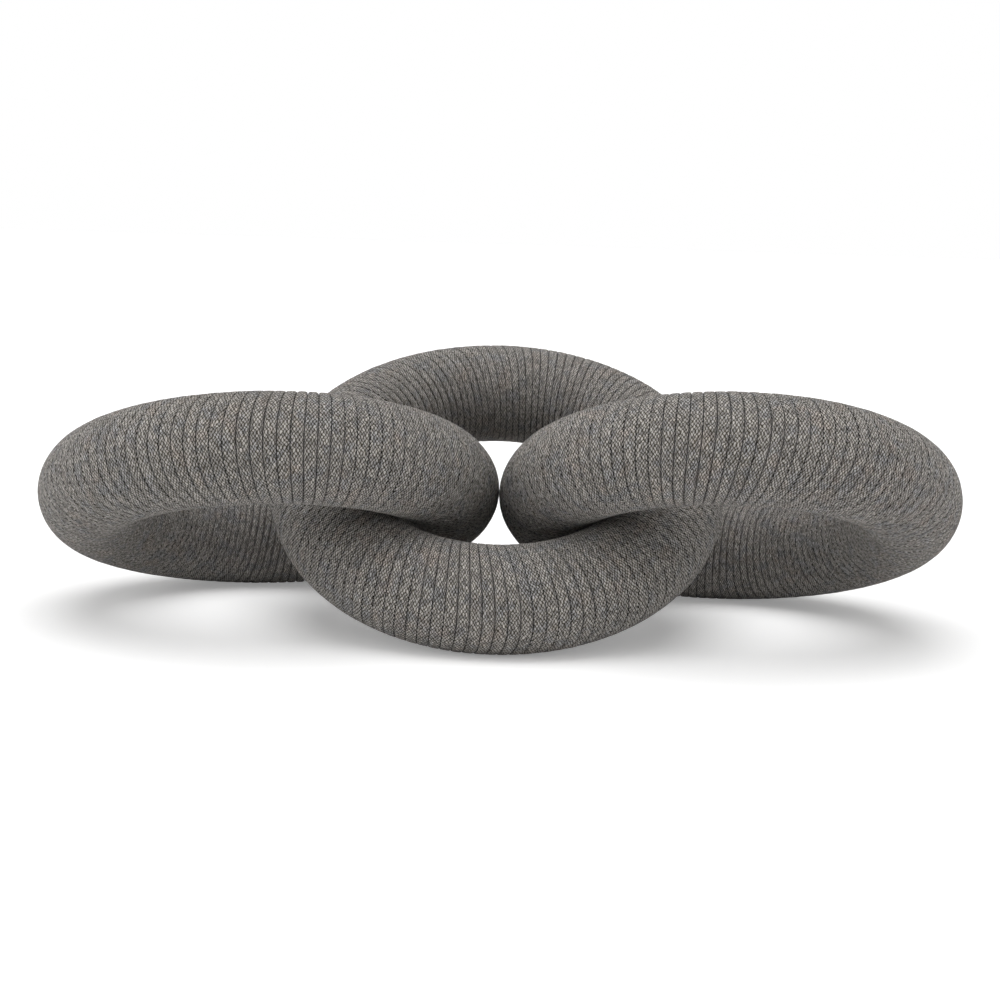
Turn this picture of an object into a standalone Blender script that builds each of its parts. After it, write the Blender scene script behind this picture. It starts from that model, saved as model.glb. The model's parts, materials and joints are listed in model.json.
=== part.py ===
# Rope link sculpture: three thick rings linked in a row, each a wooden core wound all over with cord.
# Metres, +Z up, standing on z = 0, with the front of the sculpture towards -Y.

import math

import bmesh
import bpy
import numpy as np
from mathutils import Matrix, Vector

# Driving dimensions of one ring. All three rings are alike.
RING_OUTER_DIAMETER = 0.250
TUBE_DIAMETER = 0.057
CORD_DIAMETER = 0.0064
CORD_TURNS = 120
CORDS_IN_BAND = 5

# Where each ring stands: the place of its centre, the tilt that lifts its front, and the lean that lowers
# its right-hand end. The seam is how many turns of the band lie between its start and the spot that rests
# on the table.
RINGS = {
    "left": {"x": -0.1248, "y": -0.0052, "tilt": 23.5, "lean": -3.7, "seam": 3},
    "middle": {"x": -0.0009, "y": 0.0084, "tilt": -27.1, "lean": -0.2, "seam": 9},
    "right": {"x": 0.1254, "y": -0.0095, "tilt": 26.1, "lean": 1.2, "seam": 21},
}

# The winding, drawn as one flat band that stands for five turns of cord laid side by side
BAND_TURNS = CORD_TURNS // CORDS_IN_BAND
BAND_GAP = 0.0008
BAND_SHOULDER = 0.25 * CORD_DIAMETER
BAND_FLAT = 0.6
POINTS_PER_TURN = 9
TABLE_CUT = CORD_DIAMETER / 10

# The wooden core, sawn in two so that the rings can be linked, and the dowels that join the halves
CORE_DIAMETER = 0.036
CORE_SIDES = 12
CORE_STEPS = 16
JOINT_GAP = 0.0003
DOWEL_DIAMETER = 0.010
DOWEL_LENGTH = 0.040
DOWEL_CHAMFER = 0.001

# The tack at each end of the cord
TACK_SHANK_DIAMETER = 0.002
TACK_HEAD_DIAMETER = 0.005
TACK_HEAD_THICKNESS = 0.0008
TACK_LENGTH = 0.012
TACK_SUNK = 0.0022

CLEARANCE = 0.0003
ROUND_SIDES = 12

TUBE_RADIUS = TUBE_DIAMETER / 2
RING_RADIUS = (RING_OUTER_DIAMETER - TUBE_DIAMETER) / 2
FULL_TURN = 2 * math.pi

CORD_COLOUR = (0.128, 0.120, 0.109)
CORE_COLOUR = (0.56, 0.40, 0.24)
DOWEL_COLOUR = (0.66, 0.49, 0.31)
TACK_COLOUR = (0.52, 0.53, 0.55)


def clear_scene():
    for thing in list(bpy.data.objects):
        bpy.data.objects.remove(thing)


def make_material(name, colour, roughness, metallic):
    material = bpy.data.materials.new(name)
    material.use_nodes = True
    shader = material.node_tree.nodes["Principled BSDF"]
    shader.inputs["Base Color"].default_value = (*colour, 1.0)
    shader.inputs["Roughness"].default_value = roughness
    shader.inputs["Metallic"].default_value = metallic
    return material


def add_empty(name, parent=None):
    empty = bpy.data.objects.new(name, None)
    empty.empty_display_size = TUBE_DIAMETER
    empty.parent = parent
    bpy.context.scene.collection.objects.link(empty)
    return empty


def add_object(name, shape, parent, material=None):
    """Turn a bmesh into a named object under its ring."""
    bmesh.ops.recalc_face_normals(shape, faces=shape.faces)
    mesh = bpy.data.meshes.new(name)
    shape.to_mesh(mesh)
    shape.free()
    piece = bpy.data.objects.new(name, mesh)
    piece.parent = parent
    if material:
        mesh.materials.append(material)
    bpy.context.scene.collection.objects.link(piece)
    return piece


def make_cutter(piece):
    piece.hide_render = True
    piece.display_type = "WIRE"
    return piece


def cut(piece, cutter):
    boolean = piece.modifiers.new("cut " + cutter.name, "BOOLEAN")
    boolean.operation = "DIFFERENCE"
    boolean.object = cutter


def shade_round(piece):
    piece.data.shade_smooth()
    piece.data.set_sharp_from_angle(angle=math.radians(40))


def tube_point(around_ring, around_tube, from_middle):
    """A point in the ring's own frame, with the ring flat and tube angle zero on its outermost line."""
    from_axis = RING_RADIUS + from_middle * math.cos(around_tube)
    return Vector((
        from_axis * math.cos(around_ring),
        from_axis * math.sin(around_ring),
        from_middle * math.sin(around_tube),
    ))


def loft(sections):
    """Join outlines of points into one solid with flat ends."""
    shape = bmesh.new()
    rows = [[shape.verts.new(point) for point in section] for section in sections]
    count = len(rows[0])
    for first, second in zip(rows, rows[1:]):
        for i in range(count):
            after = (i + 1) % count
            shape.faces.new((first[i], first[after], second[after], second[i]))
    shape.faces.new(rows[0])
    shape.faces.new(rows[-1])
    return shape


def turned(profile, axis_point, axis):
    """A round solid from (radius, height) pairs along an axis."""
    axis = axis.normalized()
    side = axis.orthogonal().normalized()
    other = axis.cross(side)
    sections = []
    for radius, height in profile:
        middle = axis_point + axis * height
        angles = [FULL_TURN * i / ROUND_SIDES for i in range(ROUND_SIDES)]
        sections.append([middle + (side * math.cos(a) + other * math.sin(a)) * radius for a in angles])
    return loft(sections)


def ring_turn(place):
    """How the ring is turned from lying flat."""
    tilt = Matrix.Rotation(-math.radians(place["tilt"]), 4, "X")
    lean = Matrix.Rotation(math.radians(place["lean"]), 4, "Y")
    return tilt @ lean


def ring_height(place):
    """The height of the ring's centre that sinks its lowest spot into the table by the depth of its flat."""
    axis = ring_turn(place) @ Vector((0, 0, 1))
    return TUBE_RADIUS + RING_RADIUS * math.sqrt(1 - axis.z**2) - TABLE_CUT


def lowest_spot(place):
    """The angles round the ring and round the tube that face straight down where the ring meets the table."""
    down = ring_turn(place).inverted() @ Vector((0, 0, -1))
    return math.atan2(down.y, down.x), math.atan2(down.z, math.hypot(down.x, down.y))


def band_angles(place, turn):
    """The angles round the ring and round the tube after so many turns of the band."""
    lowest_on_ring, lowest_on_tube = lowest_spot(place)
    from_lowest = turn - place["seam"]
    return lowest_on_ring + FULL_TURN * from_lowest / BAND_TURNS, lowest_on_tube + FULL_TURN * from_lowest


def band_section(place, turn):
    """Six points across the band: flat top and bottom, sloped shoulders, as wide as its neighbours allow."""
    around_ring, around_tube = band_angles(place, turn)
    inside = TUBE_RADIUS - CORD_DIAMETER
    shoulder = TUBE_RADIUS - BAND_SHOULDER
    outline = [
        (-1, inside),
        (1, inside),
        (1, shoulder),
        (BAND_FLAT, TUBE_RADIUS),
        (-BAND_FLAT, TUBE_RADIUS),
        (-1, shoulder),
    ]
    points = []
    for across, from_middle in outline:
        from_axis = RING_RADIUS + from_middle * math.cos(around_tube)
        half_width = math.pi / BAND_TURNS - BAND_GAP / 2 / from_axis
        points.append(tube_point(around_ring + across * half_width, around_tube, from_middle))
    return points


def band_turns():
    """The places along the band where it has a section. Its two ends stop short of each other."""
    end_gap = BAND_GAP / 2 / (FULL_TURN * TUBE_RADIUS)
    turns = [i / POINTS_PER_TURN for i in range(BAND_TURNS * POINTS_PER_TURN + 1)]
    turns[0] += end_gap
    turns[-1] -= end_gap
    return turns


def least_gap(sections):
    """The least distance between points of the band that lie more than half a turn apart along it."""
    finer = 4
    rows = np.array([[tuple(point) for point in section] for section in sections])
    steps = np.linspace(0, 1, finer, endpoint=False)[None, :, None, None]
    rows = (rows[:-1, None] * (1 - steps) + rows[1:, None] * steps).reshape(-1, rows.shape[1], 3)
    apart = finer * POINTS_PER_TURN // 2
    least = math.inf
    for i in range(len(rows) - apart):
        later = rows[i + apart:].reshape(-1, 1, 3)
        least = min(least, float(np.linalg.norm(later - rows[i][None], axis=2).min()))
    return least


def make_winding(name, place, ring, material):
    sections = [band_section(place, turn) for turn in band_turns()]
    print(f"{name}: {BAND_TURNS} turns, least gap to itself {least_gap(sections) * 1000:.2f} mm")
    return add_object(name, loft(sections), ring, material)


def make_core_half(name, starts_at, ring, material):
    """Half of the core, from one sawn face to the other."""
    trim = JOINT_GAP / 2 / RING_RADIUS
    first = starts_at + trim
    sweep = math.pi - 2 * trim
    tube_angles = [FULL_TURN * i / CORE_SIDES for i in range(CORE_SIDES)]
    sections = []
    for step in range(CORE_STEPS + 1):
        around_ring = first + sweep * step / CORE_STEPS
        sections.append([tube_point(around_ring, a, CORE_DIAMETER / 2) for a in tube_angles])
    half = add_object(name, loft(sections), ring, material)
    shade_round(half)
    return half


def dowel_profile(radius, length, chamfer):
    return [
        (radius - chamfer, -length / 2),
        (radius, -length / 2 + chamfer),
        (radius, length / 2 - chamfer),
        (radius - chamfer, length / 2),
    ]


def make_dowel(name, side, ring, material):
    """A dowel across one sawn joint, and the hole for it."""
    middle = Vector((side * RING_RADIUS, 0, 0))
    along = Vector((0, 1, 0))
    radius = DOWEL_DIAMETER / 2
    profile = dowel_profile(radius, DOWEL_LENGTH, DOWEL_CHAMFER)
    dowel = add_object(name, turned(profile, middle, along), ring, material)
    shade_round(dowel)
    room = dowel_profile(radius + CLEARANCE, DOWEL_LENGTH + 2 * CLEARANCE, DOWEL_CHAMFER)
    return make_cutter(add_object(name + "_hole", turned(room, middle, along), ring))


def make_tack(name, place, turn, ring, material):
    """A sunk tack through one end of the cord into the core, and the hole for it."""
    around_ring, around_tube = band_angles(place, turn)
    middle = tube_point(around_ring, around_tube, 0)
    outward = tube_point(around_ring, around_tube, 1) - middle
    head_top = TUBE_RADIUS - TACK_SUNK
    head_base = head_top - TACK_HEAD_THICKNESS
    tip = head_base - TACK_LENGTH
    shank = TACK_SHANK_DIAMETER / 2
    head = TACK_HEAD_DIAMETER / 2
    profile = [
        (shank / 2, tip),
        (shank, tip + shank),
        (shank, head_base),
        (head, head_base),
        (head, head_top),
    ]
    tack = add_object(name, turned(profile, middle, outward), ring, material)
    shade_round(tack)
    outside = TUBE_RADIUS + CORD_DIAMETER
    room = [
        (shank + CLEARANCE, tip - CLEARANCE),
        (shank + CLEARANCE, head_base - CLEARANCE),
        (head + CLEARANCE, head_base - CLEARANCE),
        (head + CLEARANCE, outside),
    ]
    return make_cutter(add_object(name + "_hole", turned(room, middle, outward), ring))


def make_table_cutter(parent):
    """A slab with its top on the table, to cut each winding flat where it stands."""
    shape = bmesh.new()
    bmesh.ops.create_cube(shape, size=1)
    slab = Vector((4 * RING_OUTER_DIAMETER, 2 * RING_OUTER_DIAMETER, TUBE_DIAMETER))
    bmesh.ops.scale(shape, vec=slab, verts=shape.verts)
    bmesh.ops.translate(shape, vec=(0, 0, -slab.z / 2), verts=shape.verts)
    return make_cutter(add_object("table_cutter", shape, parent))


def make_ring(side, place, sculpture, table_cutter, materials):
    ring = add_empty(side + "_ring", sculpture)
    centre = Vector((place["x"], place["y"], ring_height(place)))
    ring.matrix_local = Matrix.Translation(centre) @ ring_turn(place)

    back_core = make_core_half(side + "_ring_back_core", 0, ring, materials["core"])
    front_core = make_core_half(side + "_ring_front_core", math.pi, ring, materials["core"])
    for end, direction in (("left", -1), ("right", 1)):
        hole = make_dowel(f"{side}_ring_{end}_dowel", direction, ring, materials["dowel"])
        cut(back_core, hole)
        cut(front_core, hole)

    winding = make_winding(side + "_ring_winding", place, ring, materials["cord"])
    middle_of_first = 0.5 / POINTS_PER_TURN
    seam_core = back_core if math.sin(band_angles(place, 0)[0]) > 0 else front_core
    for end, turn in (("start", middle_of_first), ("end", BAND_TURNS - middle_of_first)):
        hole = make_tack(f"{side}_ring_{end}_tack", place, turn, ring, materials["tack"])
        cut(winding, hole)
        cut(seam_core, hole)
    cut(winding, table_cutter)
    return ring


def centre_over_origin(sculpture):
    """Slide the sculpture so that its box stands centred on the origin."""
    bpy.context.view_layer.update()
    graph = bpy.context.evaluated_depsgraph_get()
    corners = []
    for piece in bpy.data.objects:
        if piece.type == "MESH" and not piece.hide_render:
            shape = piece.evaluated_get(graph)
            corners += [shape.matrix_world @ vertex.co for vertex in shape.data.vertices]
    for axis in (0, 1):
        values = [corner[axis] for corner in corners]
        sculpture.location[axis] = -(min(values) + max(values)) / 2
    bpy.context.view_layer.update()


def print_places(rings):
    """Each ring's centre and the line through it that the ring swings on."""
    for ring in rings:
        centre = ring.matrix_world.translation
        axis = ring.matrix_world.to_3x3() @ Vector((-1, 0, 0))
        print(ring.name, "centre", [round(v, 5) for v in centre], "swings on", [round(v, 5) for v in axis])


def main():
    clear_scene()
    materials = {
        "cord": make_material("grey_cord", CORD_COLOUR, 0.9, 0.0),
        "core": make_material("core_wood", CORE_COLOUR, 0.65, 0.0),
        "dowel": make_material("dowel_wood", DOWEL_COLOUR, 0.6, 0.0),
        "tack": make_material("tack_steel", TACK_COLOUR, 0.35, 1.0),
    }
    sculpture = add_empty("sculpture")
    table_cutter = make_table_cutter(sculpture)
    rings = [make_ring(side, place, sculpture, table_cutter, materials) for side, place in RINGS.items()]
    centre_over_origin(sculpture)
    print_places(rings)


main()
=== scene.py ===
import json
import math

import bpy
import numpy as np
from mathutils import Matrix, Quaternion, Vector

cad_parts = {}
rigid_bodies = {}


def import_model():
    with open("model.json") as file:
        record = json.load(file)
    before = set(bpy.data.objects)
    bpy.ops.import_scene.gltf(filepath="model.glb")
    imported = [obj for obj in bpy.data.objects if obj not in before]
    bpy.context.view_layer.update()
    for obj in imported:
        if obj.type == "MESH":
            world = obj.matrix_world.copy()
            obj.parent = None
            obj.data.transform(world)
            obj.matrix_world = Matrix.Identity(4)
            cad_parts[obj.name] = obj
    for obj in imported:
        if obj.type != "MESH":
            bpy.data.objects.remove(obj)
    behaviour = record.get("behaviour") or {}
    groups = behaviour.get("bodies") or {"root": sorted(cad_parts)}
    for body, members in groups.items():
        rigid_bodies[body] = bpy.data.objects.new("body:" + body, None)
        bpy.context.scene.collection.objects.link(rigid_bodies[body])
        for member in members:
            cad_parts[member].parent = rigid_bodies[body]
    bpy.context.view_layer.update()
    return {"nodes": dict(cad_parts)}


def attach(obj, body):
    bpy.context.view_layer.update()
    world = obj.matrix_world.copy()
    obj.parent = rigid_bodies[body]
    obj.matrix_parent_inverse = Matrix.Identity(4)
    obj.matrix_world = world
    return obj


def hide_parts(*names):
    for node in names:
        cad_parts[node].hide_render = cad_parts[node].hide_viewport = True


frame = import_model()
scene = bpy.context.scene
scene.view_settings.view_transform = "Standard"
fullTurn = 2 * math.pi


class Wire:  # an output socket that can stand in a sum
    def __init__(self, tree, socket):
        self.tree = tree
        self.socket = socket

    def __add__(self, other):
        return calc("ADD", self, other)

    def __radd__(self, other):
        return calc("ADD", other, self)

    def __sub__(self, other):
        return calc("SUBTRACT", self, other)

    def __rsub__(self, other):
        return calc("SUBTRACT", other, self)

    def __mul__(self, other):
        return calc("MULTIPLY", self, other)

    def __rmul__(self, other):
        return calc("MULTIPLY", other, self)

    def __truediv__(self, other):
        return calc("DIVIDE", self, other)

    def __rtruediv__(self, other):
        return calc("DIVIDE", other, self)

    def __pow__(self, other):
        return calc("POWER", self, other)

    def __mod__(self, other):
        return calc("FLOORED_MODULO", self, other)

    def __lt__(self, other):
        return calc("LESS_THAN", self, other)

    def __gt__(self, other):
        return calc("GREATER_THAN", self, other)


def plug(value, socket):
    if isinstance(value, Wire):
        value.tree.links.new(value.socket, socket)
    else:
        socket.default_value = value


def calc(operation, *values):
    tree = next(value.tree for value in values if isinstance(value, Wire))
    node = tree.nodes.new("ShaderNodeMath")
    node.operation = operation
    for value, socket in zip(values, node.inputs):
        plug(value, socket)
    return Wire(tree, node.outputs[0])


def addNode(tree, kind, inputs, **settings):
    node = tree.nodes.new(kind)
    for name, value in settings.items():
        setattr(node, name, value)
    for name, value in inputs.items():
        plug(value, node.inputs[name])
    return node


def outlet(tree, node, name=0):
    return Wire(tree, node.outputs[name])


def blendValues(first, second, share):
    return first + (second - first) * share


def ease(value, low, high, atLow=0.0, atHigh=1.0):  # a soft step between two levels
    node = addNode(
        value.tree,
        "ShaderNodeMapRange",
        {"Value": value, "From Min": low, "From Max": high, "To Min": atLow, "To Max": atHigh},
        interpolation_type="SMOOTHSTEP",
    )
    return outlet(value.tree, node)


def joinXYZ(tree, x, y, z=0.0):
    return outlet(tree, addNode(tree, "ShaderNodeCombineXYZ", {"X": x, "Y": y, "Z": z}))


def splitXYZ(tree, vector):
    node = addNode(tree, "ShaderNodeSeparateXYZ", {"Vector": vector})
    return [outlet(tree, node, name) for name in "XYZ"]


def noiseOnLine(tree, place, scale, detail=1.0):  # noise along one number, about 0.5
    node = addNode(
        tree,
        "ShaderNodeTexNoise",
        {"W": place, "Scale": scale, "Detail": detail},
        noise_dimensions="1D",
    )
    return outlet(tree, node)


def newTree(name, kind, inputs, outputs):
    tree = bpy.data.node_groups.new(name, kind)
    sockets = {}
    for label, socketType in inputs:
        sockets[label] = tree.interface.new_socket(label, in_out="INPUT", socket_type=socketType)
    for label, socketType in outputs:
        tree.interface.new_socket(label, in_out="OUTPUT", socket_type=socketType)
    gate = tree.nodes.new("NodeGroupInput")
    wires = {label: outlet(tree, gate, label) for label in sockets}
    return tree, sockets, wires


# The camera: the photograph's own place, in front and a little above
viewpoint = {
    "target": (0.00075, 0.00097, 0.06712),
    "distance": 1.0730,
    "elevation": 9.43,
    "roll": 1.79,  # the photograph stands a little askew
    "lens": 70.0,
    "sensor": 36.0,
    "clip": (0.01, 50.0),
}


def makeCamera():
    data = bpy.data.cameras.new("frontCamera")
    data.lens = viewpoint["lens"]
    data.sensor_width = viewpoint["sensor"]
    data.clip_start, data.clip_end = viewpoint["clip"]
    camera = bpy.data.objects.new("frontCamera", data)
    tilt = math.radians(viewpoint["elevation"])
    back = Vector((0, -math.cos(tilt), math.sin(tilt)))
    camera.location = Vector(viewpoint["target"]) + back * viewpoint["distance"]
    camera.rotation_mode = "QUATERNION"
    roll = Quaternion((0, 0, 1), math.radians(viewpoint["roll"]))
    camera.rotation_quaternion = (-back).to_track_quat("-Z", "Y") @ roll
    scene.collection.objects.link(camera)
    scene.camera = camera
    print("camera set")


# The studio: a white table that keeps the shadow, broad soft lights above and to either side,
# and a little light all round
studio = {
    "floorSize": 12.0,
    "floorColour": (0.95, 0.95, 0.95),
    "floorLift": 0.25,  # what the camera sees added, so that the bare table is white
    "skyLight": 0.075,
    "lamps": [
        {"name": "overhead", "from": (0, 0, 1), "strength": 1.78, "spread": 60},
        {"name": "frontFill", "from": (0, -0.6, 1), "strength": 0.5, "spread": 60},
        {"name": "leftSide", "from": (-1, -0.3, 0.4), "strength": 1.25, "spread": 60},
        {"name": "rightSide", "from": (1, -0.3, 0.4), "strength": 0.8, "spread": 60},
    ],
}


def seenDirectly(tree):  # 1 for what the camera, a mirror or glass looks at
    path = addNode(tree, "ShaderNodeLightPath", {})
    names = ("Is Camera Ray", "Is Glossy Ray", "Is Transmission Ray")
    camera, glossy, transmission = (outlet(tree, path, name) for name in names)
    return calc("MAXIMUM", calc("MAXIMUM", camera, glossy), transmission)


def makeFloor():
    half = studio["floorSize"] / 2
    mesh = bpy.data.meshes.new("whiteTable")
    corners = [(-half, -half, 0), (half, -half, 0), (half, half, 0), (-half, half, 0)]
    mesh.from_pydata(corners, [], [(0, 1, 2, 3)])
    material = bpy.data.materials.new("whiteTable")
    material.use_nodes = True
    tree = material.node_tree
    tree.nodes.clear()
    paint = addNode(tree, "ShaderNodeBsdfDiffuse", {"Color": (*studio["floorColour"], 1)})
    glow = addNode(tree, "ShaderNodeEmission", {"Strength": seenDirectly(tree) * studio["floorLift"]})
    both = addNode(tree, "ShaderNodeAddShader", {})
    tree.links.new(paint.outputs[0], both.inputs[0])
    tree.links.new(glow.outputs[0], both.inputs[1])
    addNode(tree, "ShaderNodeOutputMaterial", {"Surface": outlet(tree, both)})
    mesh.materials.append(material)
    floor = bpy.data.objects.new("whiteTable", mesh)
    scene.collection.objects.link(floor)


def makeLights():
    world = bpy.data.worlds.new("studioAir")
    scene.world = world
    world.use_nodes = True
    tree = world.node_tree
    tree.nodes.clear()
    strength = blendValues(studio["skyLight"], 1.0, seenDirectly(tree))
    sky = addNode(tree, "ShaderNodeBackground", {"Color": (1, 1, 1, 1), "Strength": strength})
    addNode(tree, "ShaderNodeOutputWorld", {"Surface": outlet(tree, sky)})
    for lamp in studio["lamps"]:
        data = bpy.data.lights.new(lamp["name"], "SUN")
        data.energy = lamp["strength"]
        data.angle = math.radians(lamp["spread"])
        light = bpy.data.objects.new(lamp["name"], data)
        light.location = lamp["from"]
        light.rotation_mode = "QUATERNION"
        light.rotation_quaternion = (-light.location).to_track_quat("-Z", "Y")
        scene.collection.objects.link(light)
    print("studio set:", len(studio["lamps"]), "lamps and the sky")


# One ring's own frame is read from the two dowels across its core and the tacks at its cord's ends
def nodePoints(node):
    mesh = frame["nodes"][node].data
    points = np.empty(len(mesh.vertices) * 3, np.float32)
    mesh.vertices.foreach_get("co", points)
    return np.unique(points.reshape(-1, 3).round(6), axis=0)


def ringFrame(side):
    leftEnd = Vector(nodePoints(f"{side}_ring_left_dowel").mean(0))
    dowel = nodePoints(f"{side}_ring_right_dowel")
    rightEnd = Vector(dowel.mean(0))
    across = (rightEnd - leftEnd).normalized()
    longAxis = np.linalg.svd(dowel - dowel.mean(0))[2][0]  # the dowel lies front to back
    along = Vector(longAxis if longAxis[1] > 0 else -longAxis)
    up = across.cross(along).normalized()
    turn = Matrix((across, up.cross(across), up)).transposed()
    ringRadius = (rightEnd - leftEnd).length / 2
    return Matrix.Translation((leftEnd + rightEnd) / 2) @ turn.to_4x4(), ringRadius


def tubeSize(side, place, ringRadius):  # from the middle of the tube to the outside of the winding
    back = place.inverted()
    points = [back @ Vector(point) for point in nodePoints(f"{side}_ring_winding")]
    return max(math.hypot(math.hypot(point.x, point.y) - ringRadius, point.z) for point in points)


def cordStart(side, place, ringRadius):
    angles = []
    for end in ("start", "end"):
        tack = place.inverted() @ Vector(nodePoints(f"{side}_ring_{end}_tack").mean(0))
        outward = math.hypot(tack.x, tack.y) - ringRadius
        angles.append((math.atan2(tack.y, tack.x), math.atan2(tack.z, outward)))
    return [(first + second) / 2 for first, second in zip(*angles)]


# The wound cord: 120 turns on each ring, each turn pressed against the next
cordWinding = {
    "turns": 120,
    "lengths": 4,  # each ring's cord is drawn in so many lengths, end to end
    "cordDepth": 0.0064,
    "slit": 0.00012,  # the least gap between two turns
    "slitStray": 0.00035,  # how far a slit wanders to either side
    "turnStray": 0.00016,  # how far one turn stands above or below the next
    "strayNoise": (2.3, 5.0),  # how fast a noise changes in a turn, and how far along it starts
    "openNoise": (2.9, 17.0),
    "liftNoise": (1.3, 1.7),  # its start is a share of the seed
    "patchStep": 0.2,  # how fast the open patches change from turn to turn
    "patchRound": 0.8,  # and round the tube
    "patchEdge": 0.14,  # how softly they end
    "openWaver": 0.6,  # how far a slit departs from its patch
    "roundShoulder": 0.43,  # powers of the section's outline, from an open slit
    "squareShoulder": 0.20,  # to one that is pressed shut
    "openShift": 0.06,  # how much later an open slit's painted shade starts, as a share from the crown
    "endPress": 0.0031,  # how deep the tacks press the two ends
    "endLength": 0.11,  # in turns
    "endFlat": 0.6,  # the share of that length that is pressed right down
    "heldBeside": (0.90, 0.99),  # the tacks hold the cord straight: cosines along the ring
    "heldOver": (0.3, 0.9),  # and round the tube
    "meetSwell": 0.00024,  # how far the cords of the two outer rings stand out where these meet
    "meetBeside": (0.97, 1.0),  # cosines as above
    "meetOver": (0.75, 1.0),
    "sideStretch": 0.9,  # of the braid down the sides of the cord
    "pointsPerTurn": 96,
    "pointsAcross": 22,
    "mergeReach": 0.000005,
    "hiddenShare": 0.07,  # of the map across the cord, for each side of its base
}
ringWays = {  # as the photograph shows: how the turns bow, in degrees over the top and at the outside
    "left": {
        "frontBow": (0.1, -3.3),
        "skewBow": (0.5, 0.9),
        "sideBow": (-1.5, 3.1),
        "tightness": 0.0,  # how much more its slits are pressed shut
        "meetsAt": 0.0,  # where it meets the other outer ring, in degrees round the ring
        "seed": 3.0,
    },
    "middle": {
        "frontBow": (0.8, 3.5),
        "skewBow": (0.5, 0.3),
        "sideBow": (-0.1, 0.7),
        "tightness": 0.09,
        "meetsAt": None,
        "seed": 47.0,
    },
    "right": {
        "frontBow": (0.5, 3.5),
        "skewBow": (0.7, 0.6),
        "sideBow": (-1.3, -4.0),
        "tightness": 0.0,
        "meetsAt": 180.0,
        "seed": 91.0,
    },
}
windingInputs = [
    ("Turns", "NodeSocketFloat"),
    ("First Turn", "NodeSocketFloat"),
    ("Turns In Length", "NodeSocketInt"),
    ("Points Per Turn", "NodeSocketInt"),
    ("Points Across", "NodeSocketInt"),
    ("Ring Radius", "NodeSocketFloat"),
    ("Tube Radius", "NodeSocketFloat"),
    ("Cord Depth", "NodeSocketFloat"),
    ("Slit", "NodeSocketFloat"),
    ("Slit Stray", "NodeSocketFloat"),
    ("Turn Stray", "NodeSocketFloat"),
    ("Round Shoulder", "NodeSocketFloat"),
    ("Square Shoulder", "NodeSocketFloat"),
    ("Open Shift", "NodeSocketFloat"),
    ("End Press", "NodeSocketFloat"),
    ("End Length", "NodeSocketFloat"),
    ("Hidden Share", "NodeSocketFloat"),
    ("Start On Ring", "NodeSocketFloat"),
    ("Start On Tube", "NodeSocketFloat"),
    ("Front Bow", "NodeSocketVector"),
    ("Skew Bow", "NodeSocketVector"),
    ("Side Bow", "NodeSocketVector"),
    ("Seed", "NodeSocketFloat"),
    ("Tightness", "NodeSocketFloat"),
    ("Meets At", "NodeSocketFloat"),
    ("Meet Swell", "NodeSocketFloat"),
    ("Ring Place", "NodeSocketVector"),
    ("Ring Turn", "NodeSocketRotation"),
    ("Cord Material", "NodeSocketMaterial"),
]


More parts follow.
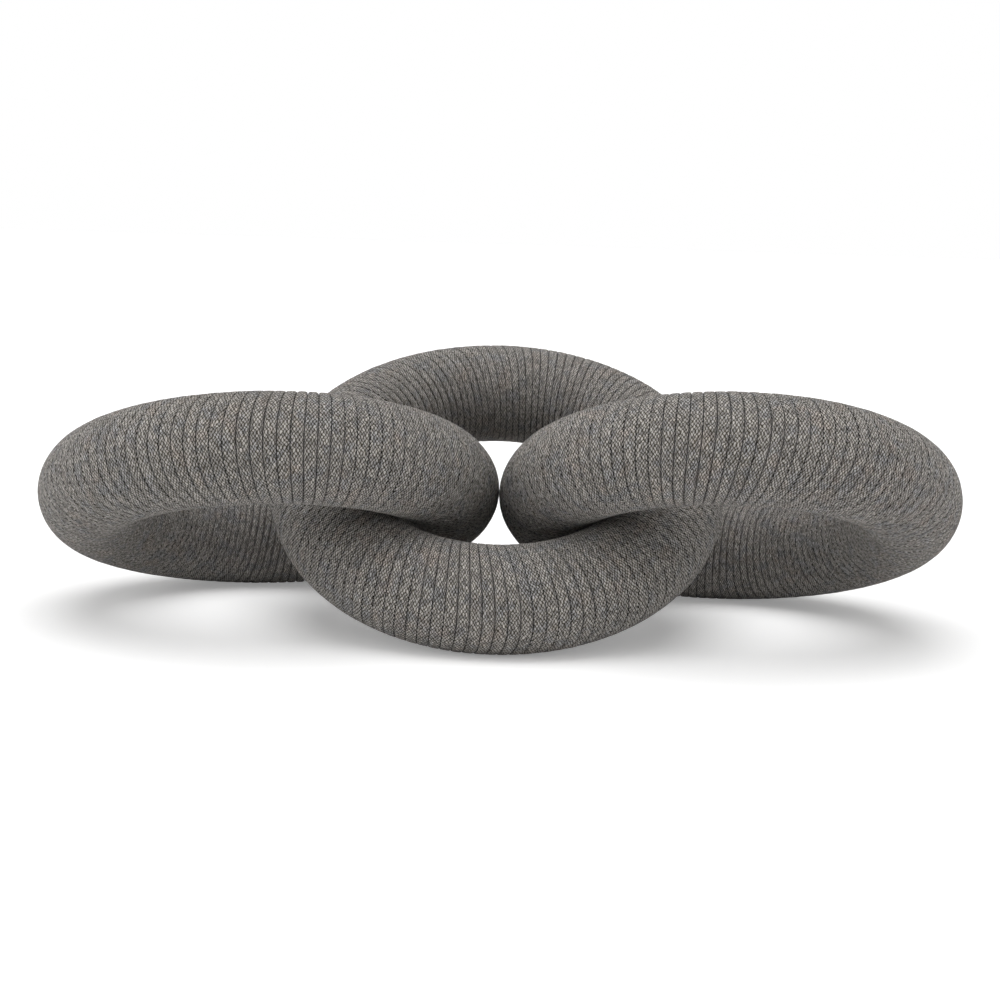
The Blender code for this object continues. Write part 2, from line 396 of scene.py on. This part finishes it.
def makeWindingTree():
    tree, sockets, given = newTree(
        "windCord", "GeometryNodeTree", windingInputs, [("Geometry", "NodeSocketGeometry")]
    )
    turnsInLength = given["Turns In Length"]
    pointsPerTurn = given["Points Per Turn"]

    # A flat sheet to roll up: rows along the cord, with one more at each end for the closing caps
    lastRow = turnsInLength * pointsPerTurn + 2
    sheet = addNode(
        tree,
        "GeometryNodeMeshGrid",
        {"Size X": 1.0, "Size Y": 1.0, "Vertices X": lastRow + 1, "Vertices Y": given["Points Across"] + 1},
    )
    spot = outlet(tree, addNode(tree, "GeometryNodeInputPosition", {}))
    spotX, spotY, _ = splitXYZ(tree, spot)
    row = calc("ROUND", (spotX + 0.5) * lastRow)
    capped = calc("MAXIMUM", row < 0.5, row > lastRow - 0.5)
    step = calc("MINIMUM", calc("MAXIMUM", row - 1, 0.0), lastRow - 2)
    turn = given["First Turn"] + step / pointsPerTurn
    around = spotY + 0.5  # 0 and 1 at the middle of the base, 0.5 on the crown

    aroundTube = given["Start On Tube"] + turn * fullTurn

    # Each slit is shared by two turns, so both read the same noise at half a turn to either side
    def slitNoise(side, speed, start):
        return noiseOnLine(tree, turn + (0.5 * side + start) + given["Seed"], speed) - 0.5

    def openSlit(side):  # the slits stand open in patches of a few turns
        patchPlace = joinXYZ(
            tree,
            (turn + 0.5 * side) * cordWinding["patchStep"] + given["Seed"],
            calc("COSINE", aroundTube) * cordWinding["patchRound"],
            calc("SINE", aroundTube) * cordWinding["patchRound"],
        )
        patch = addNode(tree, "ShaderNodeTexNoise", {"Vector": patchPlace, "Scale": 1.0, "Detail": 1.0})
        waver = slitNoise(side, *cordWinding["openNoise"]) * cordWinding["openWaver"]
        patchy = outlet(tree, patch) - 0.5 + waver
        return ease(patchy - given["Tightness"], -cordWinding["patchEdge"], cordWinding["patchEdge"])

    # The section of the cord: a rounded oblong, squarer where its neighbour presses
    angle = calc("FRACT", around) * fullTurn - fullTurn / 4
    rightHand = around < 0.5
    openness = blendValues(openSlit(-1), openSlit(1), rightHand)
    power = blendValues(given["Square Shoulder"], given["Round Shoulder"], openness)

    def swell(part):  # towards a square, and truly nothing at the middle
        size = calc("MAXIMUM", calc("ABSOLUTE", part) - 0.00001, 0.0)
        return calc("SIGN", part) * size ** power

    across = swell(calc("COSINE", angle))
    height = swell(calc("SINE", angle))
    crossSection = 1 - capped  # the caps draw in to a point
    acrossDrawn = across * crossSection
    heightDrawn = height * crossSection

    # How far the turn bows along the ring: so much at the front, changing to the sides
    def bowAt(onRing, onTube):
        over, outside = calc("SINE", onTube), calc("COSINE", onTube)
        swings = []
        for name in ("Front Bow", "Skew Bow", "Side Bow"):
            overShare, outsideShare, _ = splitXYZ(tree, given[name])
            swings.append(overShare * over + outsideShare * outside)
        front, skew, side = swings
        return front + skew * calc("COSINE", onRing) + side * (calc("SINE", onRing) + 1)

    # Where the turn runs, and how far it stands out
    nearEnd = calc("MINIMUM", turn, given["Turns"] - turn)
    pressed = ease(nearEnd, given["End Length"] * cordWinding["endFlat"], given["End Length"], 1.0, 0.0)
    liftSpeed, seedShare = cordWinding["liftNoise"]
    lift = noiseOnLine(tree, turn + given["Seed"] * seedShare, liftSpeed) - 0.5
    halfTurn = fullTurn / 2 / given["Turns"]
    turnOnRing = given["Start On Ring"] + turn * halfTurn * 2
    meetBeside = ease(calc("COSINE", turnOnRing - given["Meets At"]), *cordWinding["meetBeside"])
    meetOver = ease(calc("COSINE", aroundTube), *cordWinding["meetOver"])
    proud = blendValues(lift * 2 * given["Turn Stray"], given["Meet Swell"], meetBeside * meetOver)
    crown = given["Tube Radius"] + proud - given["End Press"] * pressed
    base = given["Tube Radius"] - given["Cord Depth"]
    fromTube = blendValues(base, crown, heightDrawn * 0.5 + 0.5)
    fromAxis = given["Ring Radius"] + fromTube * calc("COSINE", aroundTube)
    halfWidth = halfTurn - given["Slit"] * 0.5 / fromAxis
    outerRadius = given["Ring Radius"] + given["Tube Radius"]
    strayLeft, strayRight = (
        slitNoise(side, *cordWinding["strayNoise"]) * 2 * given["Slit Stray"] / outerRadius
        for side in (-1, 1)
    )
    stray = blendValues(strayLeft, strayRight, acrossDrawn * 0.5 + 0.5)
    straight = turnOnRing + acrossDrawn * halfWidth + stray
    bowAtStart = bowAt(given["Start On Ring"], given["Start On Tube"])
    heldBeside = ease(calc("COSINE", straight - given["Start On Ring"]), *cordWinding["heldBeside"])
    heldOver = ease(calc("COSINE", aroundTube - given["Start On Tube"]), *cordWinding["heldOver"])
    loose = 1 - heldBeside * heldOver  # the tacks hold the cord straight at its two ends
    aroundRing = straight + (bowAt(straight, aroundTube) - bowAtStart) * loose
    rolled = joinXYZ(
        tree,
        fromAxis * calc("COSINE", aroundRing),
        fromAxis * calc("SINE", aroundRing),
        fromTube * calc("SINE", aroundTube),
    )

    # The map that the braid is drawn on: metres along the cord, and across it from the crown
    turnLength = given["Tube Radius"] * fullTurn
    halfCord = given["Cord Depth"] * 0.5
    downSide = (1 - height) * halfCord * cordWinding["sideStretch"] * blendValues(-1.0, 1.0, rightHand)
    cordMap = joinXYZ(tree, turn * turnLength, across * halfCord + downSide)

    # The map for baked pictures: one row to a turn, with most of its width for what shows
    def onFace(value):
        return outlet(tree, addNode(tree, "GeometryNodeFieldOnDomain", {"Value": value}, domain="FACE"))

    wholeTurn = calc("FLOOR", onFace(turn))
    hidden = given["Hidden Share"]
    shown = calc("MINIMUM", calc("MAXIMUM", around * 2 - 0.5, 0.0), 1.0)
    underRight = calc("MINIMUM", around * 4, 1.0)
    underLeft = calc("MAXIMUM", around * 4 - 3, 0.0)
    rowWidth = hidden * (underRight + underLeft) + shown * (1 - hidden * 2)
    bakeRow = (wholeTurn - given["First Turn"] + rowWidth) / turnsInLength
    bakeMap = joinXYZ(tree, turn - wholeTurn, bakeRow)

    # How near the slit is, for its painted shade
    slitEdge = calc("ABSOLUTE", across) - openness * given["Open Shift"]

    shape = outlet(tree, sheet, "Mesh")
    for name, dataType, value in (
        ("cordMap", "FLOAT2", cordMap),
        ("OFBake", "FLOAT2", bakeMap),
        ("slitEdge", "FLOAT", slitEdge),
    ):
        node = addNode(
            tree,
            "GeometryNodeStoreNamedAttribute",
            {"Geometry": shape, "Name": name},
            data_type=dataType,
            domain="CORNER",
        )
        plug(value, next(s for s in node.inputs if s.name == "Value" and s.enabled))
        shape = outlet(tree, node)
    restX, restY, restZ = splitXYZ(tree, spot)
    onTable = joinXYZ(tree, restX, restY, calc("MAXIMUM", restZ, 0.0))  # the turns flatten where they rest
    for kind, inputs in (
        ("GeometryNodeSetShadeSmooth", {"Shade Smooth": onFace(capped) < 0.25}),
        ("GeometryNodeSetPosition", {"Position": rolled}),
        ("GeometryNodeMergeByDistance", {"Distance": cordWinding["mergeReach"]}),
        ("GeometryNodeTransform", {"Translation": given["Ring Place"], "Rotation": given["Ring Turn"]}),
        ("GeometryNodeSetPosition", {"Position": onTable}),
        ("GeometryNodeRealizeInstances", {}),
        ("GeometryNodeSetMaterial", {"Material": given["Cord Material"]}),
    ):
        shape = outlet(tree, addNode(tree, kind, {"Geometry": shape, **inputs}))
    addNode(tree, "NodeGroupOutput", {"Geometry": shape})
    return tree, sockets


def windLength(name, tree, sockets, values):
    empty = bpy.data.objects.new("spool", bpy.data.meshes.new("spool"))
    scene.collection.objects.link(empty)
    modifier = empty.modifiers.new("windCord", "NODES")
    modifier.node_group = tree
    for label, value in values.items():
        modifier[sockets[label].identifier] = value
    graph = bpy.context.evaluated_depsgraph_get()
    mesh = bpy.data.meshes.new_from_object(empty.evaluated_get(graph), depsgraph=graph)
    empty.modifiers.remove(modifier)
    bpy.data.objects.remove(empty)
    mesh.name = name
    piece = bpy.data.objects.new(name, mesh)
    scene.collection.objects.link(piece)
    return piece


def windRing(side, way, tree, sockets, material):
    place, ringRadius = ringFrame(side)
    startOnRing, startOnTube = cordStart(side, place, ringRadius)
    turnsInLength = cordWinding["turns"] // cordWinding["lengths"]
    values = {
        "Turns": float(cordWinding["turns"]),
        "Turns In Length": turnsInLength,
        "Points Per Turn": cordWinding["pointsPerTurn"],
        "Points Across": cordWinding["pointsAcross"],
        "Ring Radius": ringRadius,
        "Tube Radius": tubeSize(side, place, ringRadius),
        "Cord Depth": cordWinding["cordDepth"],
        "Slit": cordWinding["slit"],
        "Slit Stray": cordWinding["slitStray"],
        "Turn Stray": cordWinding["turnStray"],
        "Round Shoulder": cordWinding["roundShoulder"],
        "Square Shoulder": cordWinding["squareShoulder"],
        "Open Shift": cordWinding["openShift"],
        "End Press": cordWinding["endPress"],
        "End Length": cordWinding["endLength"],
        "Hidden Share": cordWinding["hiddenShare"],
        "Start On Ring": startOnRing,
        "Start On Tube": startOnTube,
        "Seed": way["seed"],
        "Tightness": way["tightness"],
        "Meets At": math.radians(way["meetsAt"] or 0.0),
        "Meet Swell": 0.0 if way["meetsAt"] is None else cordWinding["meetSwell"],
        "Ring Place": place.translation[:],
        "Ring Turn": place.to_euler()[:],
        "Cord Material": material,
    }
    for label, name in (("Front Bow", "frontBow"), ("Skew Bow", "skewBow"), ("Side Bow", "sideBow")):
        values[label] = [math.radians(bow) for bow in (*way[name], 0.0)]
    sideNames = ("right", "back", "left", "front")
    for length in range(cordWinding["lengths"]):
        values["First Turn"] = float(length * turnsInLength)
        middle = startOnRing + (length + 0.5) * fullTurn / cordWinding["lengths"]
        where = sideNames[round(middle / (fullTurn / 4)) % 4]
        piece = windLength(f"{side}_ring_cord_{where}", tree, sockets, values)
        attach(piece, f"{side}_ring")
        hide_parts(f"{side}_ring_winding")
    faces = sum(len(o.data.polygons) for o in scene.objects if o.name.startswith(f"{side}_ring_cord"))
    print(f"{side} ring wound: {cordWinding['turns']} turns, {faces} faces")


# The braid: two sets of yarn that cross at a slant, over and under by turns, and here and there
# with more of one set in sight
braid = {
    "yarnWidth": 0.00147,
    "slant": 32.5,
    "handPull": 1.4,  # how strongly one set is favoured over the other
    "stitchArch": 0.7,
    "yarnApart": 3.17,  # how far one yarn's noise is from the next one's
    "yarnRun": 0.16,  # and how fast it changes along the yarn
    "fibresApart": 9.3,
    "fibresAcross": 4,
    "fibreRun": 0.9,
}


def makeBraidGroup():
    tree, _, given = newTree(
        "plaitedYarn",
        "ShaderNodeTree",
        [
            ("Along", "NodeSocketFloat"),
            ("Across", "NodeSocketFloat"),
            ("Yarn Width", "NodeSocketFloat"),
            ("Slant", "NodeSocketFloat"),
            ("Hand", "NodeSocketFloat"),
        ],
        [
            ("Height", "NodeSocketFloat"),
            ("Stitch", "NodeSocketFloat"),
            ("Yarn", "NodeSocketFloat"),
            ("Fibre", "NodeSocketFloat"),
        ],
    )
    sideStep = given["Across"] * calc("COSINE", given["Slant"]) / given["Yarn Width"]
    longStep = given["Along"] * calc("SINE", given["Slant"]) / given["Yarn Width"]
    rising = sideStep + longStep
    falling = sideStep - longStep
    risingYarn = calc("FLOOR", rising)
    fallingYarn = calc("FLOOR", falling)
    risingPart = calc("FRACT", rising)
    fallingPart = calc("FRACT", falling)
    byTurns = (risingYarn + fallingYarn) % 2.0
    risingOnTop = byTurns + (given["Hand"] - 0.5) * braid["handPull"] > 0.5
    acrossYarn = blendValues(fallingPart, risingPart, risingOnTop)
    alongStitch = blendValues(risingPart, fallingPart, risingOnTop)
    yarnNumber = blendValues(fallingYarn + 0.5, risingYarn, risingOnTop)
    alongYarn = blendValues(rising, falling, risingOnTop)

    roundYarn = calc("SINE", acrossYarn * math.pi)
    archedStitch = calc("SINE", alongStitch * math.pi) ** braid["stitchArch"]
    stitchCell = joinXYZ(tree, yarnNumber, calc("FLOOR", alongYarn))
    stitchNoise = addNode(tree, "ShaderNodeTexWhiteNoise", {"Vector": stitchCell}, noise_dimensions="2D")
    yarnPlace = joinXYZ(tree, yarnNumber * braid["yarnApart"], alongYarn * braid["yarnRun"])
    yarnNoise = addNode(
        tree,
        "ShaderNodeTexNoise",
        {"Vector": yarnPlace, "Scale": 1.0, "Detail": 1.0},
        noise_dimensions="2D",
    )
    fibreSide = acrossYarn * braid["fibresAcross"] + yarnNumber * braid["fibresApart"]
    fibrePlace = joinXYZ(tree, fibreSide, alongYarn * braid["fibreRun"])
    fibreNoise = addNode(
        tree,
        "ShaderNodeTexNoise",
        {"Vector": fibrePlace, "Scale": 1.0, "Detail": 2.0},
        noise_dimensions="2D",
    )
    results = {
        "Height": roundYarn * archedStitch,
        "Stitch": outlet(tree, stitchNoise, "Value"),
        "Yarn": outlet(tree, yarnNoise),
        "Fibre": outlet(tree, fibreNoise),
    }
    addNode(tree, "NodeGroupOutput", results)
    return tree


# The cord's own colours, roughness and bump, with the painted shade between its yarns and in its slits
cordLookAndPaintedShade = {
    "lightYarn": (0.70, 0.664, 0.636),
    "darkYarn": (0.16, 0.154, 0.152),
    "coolTint": (0.84, 0.88, 0.95),
    "coolFrom": (0.50, 0.66),  # the levels of the blotches between which the tint comes in
    "coolShare": 0.8,
    "pinkTint": (1.06, 0.99, 0.95),
    "pinkFrom": (0.54, 0.70),
    "pinkShare": 0.7,
    "pinkStretch": 1.4,  # how much larger the pink blotches are
    "toneShares": {"stitch": 0.42, "yarn": 0.16, "fibre": 0.40, "fuzz": 0.9},
    "toneStart": 0.205,
    "paintedShadeTint": (1.06, 1.0, 0.79),  # warm tint of the painted shade between the yarns and in the slits
    "gapShade": 0.08,  # painted shade between the yarns: how dark it makes the colour, as a share
    "gapFrom": (0.05, 0.78),
    # painted shade in the slits between turns: how dark it makes the colour, as a share
    "slitShade": 0.12,
    "slitFrom": 0.775,  # where the painted shade of a slit starts, as a share of the way from the crown
    "slitFade": 0.07,
    "stitchReach": 0.22,  # how far a raised stitch stands into the slit, holding back its painted shade
    "bumpDepth": 0.00036,
    "fibreRelief": 0.25,
    "roughness": (0.86, 0.98),
    "sheen": 0.10,
    "sheenRoughness": 0.5,
    "specular": 0.2,
    "twist": 0.012,  # metres that the braid turns round the cord in each metre
    "waver": 0.0005,  # unevenness of the plaiting
    "waverRun": 55.0,  # how fast it changes along the cord
    "unevenSize": 0.0026,
    "unevenShift": 0.0011,
    "fuzzSize": 0.00052,
    "blotchSize": 0.007,
    "handSize": 0.012,  # how far one set of yarns stands out before the other does
    "handFrom": (0.32, 0.68),
}
blotchSeeds = {"cool": 2.0, "hand": 4.0, "steel": 5.0, "fuzz": 6.0, "pink": 9.0}


def mixColours(tree, share, first, second):
    node = addNode(tree, "ShaderNodeMix", {}, data_type="RGBA")
    plug(share, node.inputs["Factor"])
    for value, label in ((first, "A"), (second, "B")):
        socket = next(s for s in node.inputs if s.name == label and s.type == "RGBA")
        plug(value if isinstance(value, Wire) else (*value, 1), socket)
    return Wire(tree, next(s for s in node.outputs if s.type == "RGBA"))


def scaleColour(tree, colour, share):
    node = addNode(tree, "ShaderNodeVectorMath", {}, operation="SCALE")
    plug(colour, node.inputs[0])
    plug(share, node.inputs["Scale"])
    return outlet(tree, node)


def tintColour(tree, colour, tint):
    node = addNode(tree, "ShaderNodeVectorMath", {}, operation="MULTIPLY")
    plug(colour, node.inputs[0])
    plug(tint, node.inputs[1])
    return outlet(tree, node)


def blotches(tree, place, size, name):  # soft patches, 0 to 1
    node = addNode(
        tree,
        "ShaderNodeTexNoise",
        {"Vector": place, "W": blotchSeeds[name], "Scale": 1 / size, "Detail": 1.5},
        noise_dimensions="4D",
    )
    return outlet(tree, node)


def newMaterial(name):
    material = bpy.data.materials.new(name)
    material.use_nodes = True
    return material, material.node_tree, material.node_tree.nodes["Principled BSDF"]


def makeCordMaterial(braidGroup):
    material, tree, shader = newMaterial("greyBraidedCord")
    uv = addNode(tree, "ShaderNodeUVMap", {}, uv_map="cordMap")
    along, across, _ = splitXYZ(tree, outlet(tree, uv))
    place = outlet(tree, addNode(tree, "ShaderNodeTexCoord", {}), "Object")
    slack = (noiseOnLine(tree, along, cordLookAndPaintedShade["waverRun"], 2.0) - 0.5) * cordLookAndPaintedShade["waver"]
    plait = addNode(tree, "ShaderNodeGroup", {}, node_tree=braidGroup)
    uneven = addNode(
        tree,
        "ShaderNodeTexNoise",
        {"Vector": outlet(tree, uv), "Scale": 1 / cordLookAndPaintedShade["unevenSize"], "Detail": 1.0},
        noise_dimensions="2D",
    )
    pushAlong, pushAcross, _ = splitXYZ(tree, outlet(tree, uneven, "Color"))
    pushAlong = (pushAlong - 0.5) * cordLookAndPaintedShade["unevenShift"]
    pushAcross = (pushAcross - 0.5) * cordLookAndPaintedShade["unevenShift"]
    plug(along + slack * 2 + pushAlong * 2, plait.inputs["Along"])
    plug(across + along * cordLookAndPaintedShade["twist"] + slack + pushAcross, plait.inputs["Across"])
    plug(braid["yarnWidth"], plait.inputs["Yarn Width"])
    plug(math.radians(braid["slant"]), plait.inputs["Slant"])
    hand = ease(blotches(tree, place, cordLookAndPaintedShade["handSize"], "hand"), *cordLookAndPaintedShade["handFrom"])
    plug(hand, plait.inputs["Hand"])
    height, stitch, yarn, fibre = (outlet(tree, plait, i) for i in range(4))

    fuzz = blotches(tree, place, cordLookAndPaintedShade["fuzzSize"], "fuzz")
    shares = cordLookAndPaintedShade["toneShares"]
    tone = stitch * shares["stitch"] + yarn * shares["yarn"]
    tone = tone + (fibre - 0.5) * shares["fibre"] + (fuzz - 0.5) * shares["fuzz"]
    tone = ease(tone + cordLookAndPaintedShade["toneStart"], 0.0, 1.0)
    colour = mixColours(tree, tone, cordLookAndPaintedShade["darkYarn"], cordLookAndPaintedShade["lightYarn"])
    for name, size in (
        ("cool", cordLookAndPaintedShade["blotchSize"]),
        ("pink", cordLookAndPaintedShade["blotchSize"] * cordLookAndPaintedShade["pinkStretch"]),
    ):
        patches = ease(blotches(tree, place, size, name), *cordLookAndPaintedShade[f"{name}From"])
        tinted = tintColour(tree, colour, cordLookAndPaintedShade[f"{name}Tint"])
        colour = mixColours(tree, patches * cordLookAndPaintedShade[f"{name}Share"], colour, tinted)
    # Painted shade between the yarns, where the braid's height is low
    gaps = ease(height, *cordLookAndPaintedShade["gapFrom"], cordLookAndPaintedShade["gapShade"], 1.0)
    # Painted shade in the slits between the turns, broken where a raised stitch stands into the slit
    edge = outlet(tree, addNode(tree, "ShaderNodeAttribute", {}, attribute_name="slitEdge"), "Fac")
    intoSlit = edge - (height * cordLookAndPaintedShade["stitchReach"] + cordLookAndPaintedShade["slitFrom"])
    slits = ease(intoSlit, 0.0, cordLookAndPaintedShade["slitFade"], 1.0, cordLookAndPaintedShade["slitShade"])
    # Painted shade: the colour is tinted warmer and darkened between the yarns and in the slits
    paintedShade = gaps * slits
    colour = mixColours(tree, paintedShade, tintColour(tree, colour, cordLookAndPaintedShade["paintedShadeTint"]), colour)
    colour = scaleColour(tree, colour, paintedShade)
    tree.links.new(colour.socket, shader.inputs["Base Color"])
    low, high = cordLookAndPaintedShade["roughness"]
    plug(blendValues(low, high, fibre), shader.inputs["Roughness"])
    shader.inputs["Sheen Weight"].default_value = cordLookAndPaintedShade["sheen"]
    shader.inputs["Sheen Roughness"].default_value = cordLookAndPaintedShade["sheenRoughness"]
    shader.inputs["Specular IOR Level"].default_value = cordLookAndPaintedShade["specular"]
    relief = height + (fibre - 0.5) * cordLookAndPaintedShade["fibreRelief"]
    bump = addNode(tree, "ShaderNodeBump", {"Height": relief, "Distance": cordLookAndPaintedShade["bumpDepth"]})
    tree.links.new(bump.outputs[0], shader.inputs["Normal"])
    return material


# The wood and the steel under the cord
core = {
    "paleWood": (0.62, 0.46, 0.29),
    "darkWood": (0.44, 0.30, 0.17),
    "grainSize": 0.005,
    "grainStretch": 9.0,
    "roughness": 0.65,
}
dowel = {
    "paleWood": (0.72, 0.55, 0.36),
    "darkWood": (0.56, 0.40, 0.24),
    "grainSize": 0.0012,
    "grainStretch": 14.0,
    "roughness": 0.65,
}
tack = {
    "brightSteel": (0.56, 0.57, 0.59),
    "dullSteel": (0.40, 0.40, 0.41),
    "speckSize": 0.0008,
    "speckFrom": (0.40, 0.65),
    "roughness": 0.35,
}


def makeGrainGroup():  # streaks that run front to back, 0 in the dark wood and 1 in the pale
    tree, _, given = newTree(
        "woodGrain",
        "ShaderNodeTree",
        [("Grain Size", "NodeSocketFloat"), ("Stretch", "NodeSocketFloat")],
        [("Pale", "NodeSocketFloat")],
    )
    place = outlet(tree, addNode(tree, "ShaderNodeTexCoord", {}), "Object")
    x, y, z = (part / given["Grain Size"] for part in splitXYZ(tree, place))
    squeezed = joinXYZ(tree, x, y / given["Stretch"], z)
    noise = addNode(tree, "ShaderNodeTexNoise", {"Vector": squeezed, "Scale": 1.0, "Detail": 3.0})
    addNode(tree, "NodeGroupOutput", {"Pale": ease(outlet(tree, noise), 0.35, 0.65)})
    return tree


def makeWoodMaterial(name, wood, grainGroup):
    material, tree, shader = newMaterial(name)
    grain = addNode(tree, "ShaderNodeGroup", {}, node_tree=grainGroup)
    plug(wood["grainSize"], grain.inputs["Grain Size"])
    plug(wood["grainStretch"], grain.inputs["Stretch"])
    colour = mixColours(tree, outlet(tree, grain), wood["darkWood"], wood["paleWood"])
    tree.links.new(colour.socket, shader.inputs["Base Color"])
    shader.inputs["Roughness"].default_value = wood["roughness"]
    return material


def makeSteelMaterial():
    material, tree, shader = newMaterial("tackSteel")
    place = outlet(tree, addNode(tree, "ShaderNodeTexCoord", {}), "Object")
    specks = ease(blotches(tree, place, tack["speckSize"], "steel"), *tack["speckFrom"])
    colour = mixColours(tree, specks, tack["brightSteel"], tack["dullSteel"])
    tree.links.new(colour.socket, shader.inputs["Base Color"])
    shader.inputs["Roughness"].default_value = tack["roughness"]
    shader.inputs["Metallic"].default_value = 1.0
    return material


def finishHiddenPieces():
    grainGroup = makeGrainGroup()
    finishes = {
        "_core": makeWoodMaterial("coreWood", core, grainGroup),
        "_dowel": makeWoodMaterial("dowelWood", dowel, grainGroup),
        "_tack": makeSteelMaterial(),
    }
    for name, piece in frame["nodes"].items():
        for ending, material in finishes.items():
            if name.endswith(ending):
                piece.material_slots[0].material = material
    print("cores, dowels and tacks finished")


makeCamera()
makeFloor()
makeLights()
windingTree, windingSockets = makeWindingTree()
cordMaterial = makeCordMaterial(makeBraidGroup())
for side, way in ringWays.items():
    windRing(side, way, windingTree, windingSockets, cordMaterial)
finishHiddenPieces()
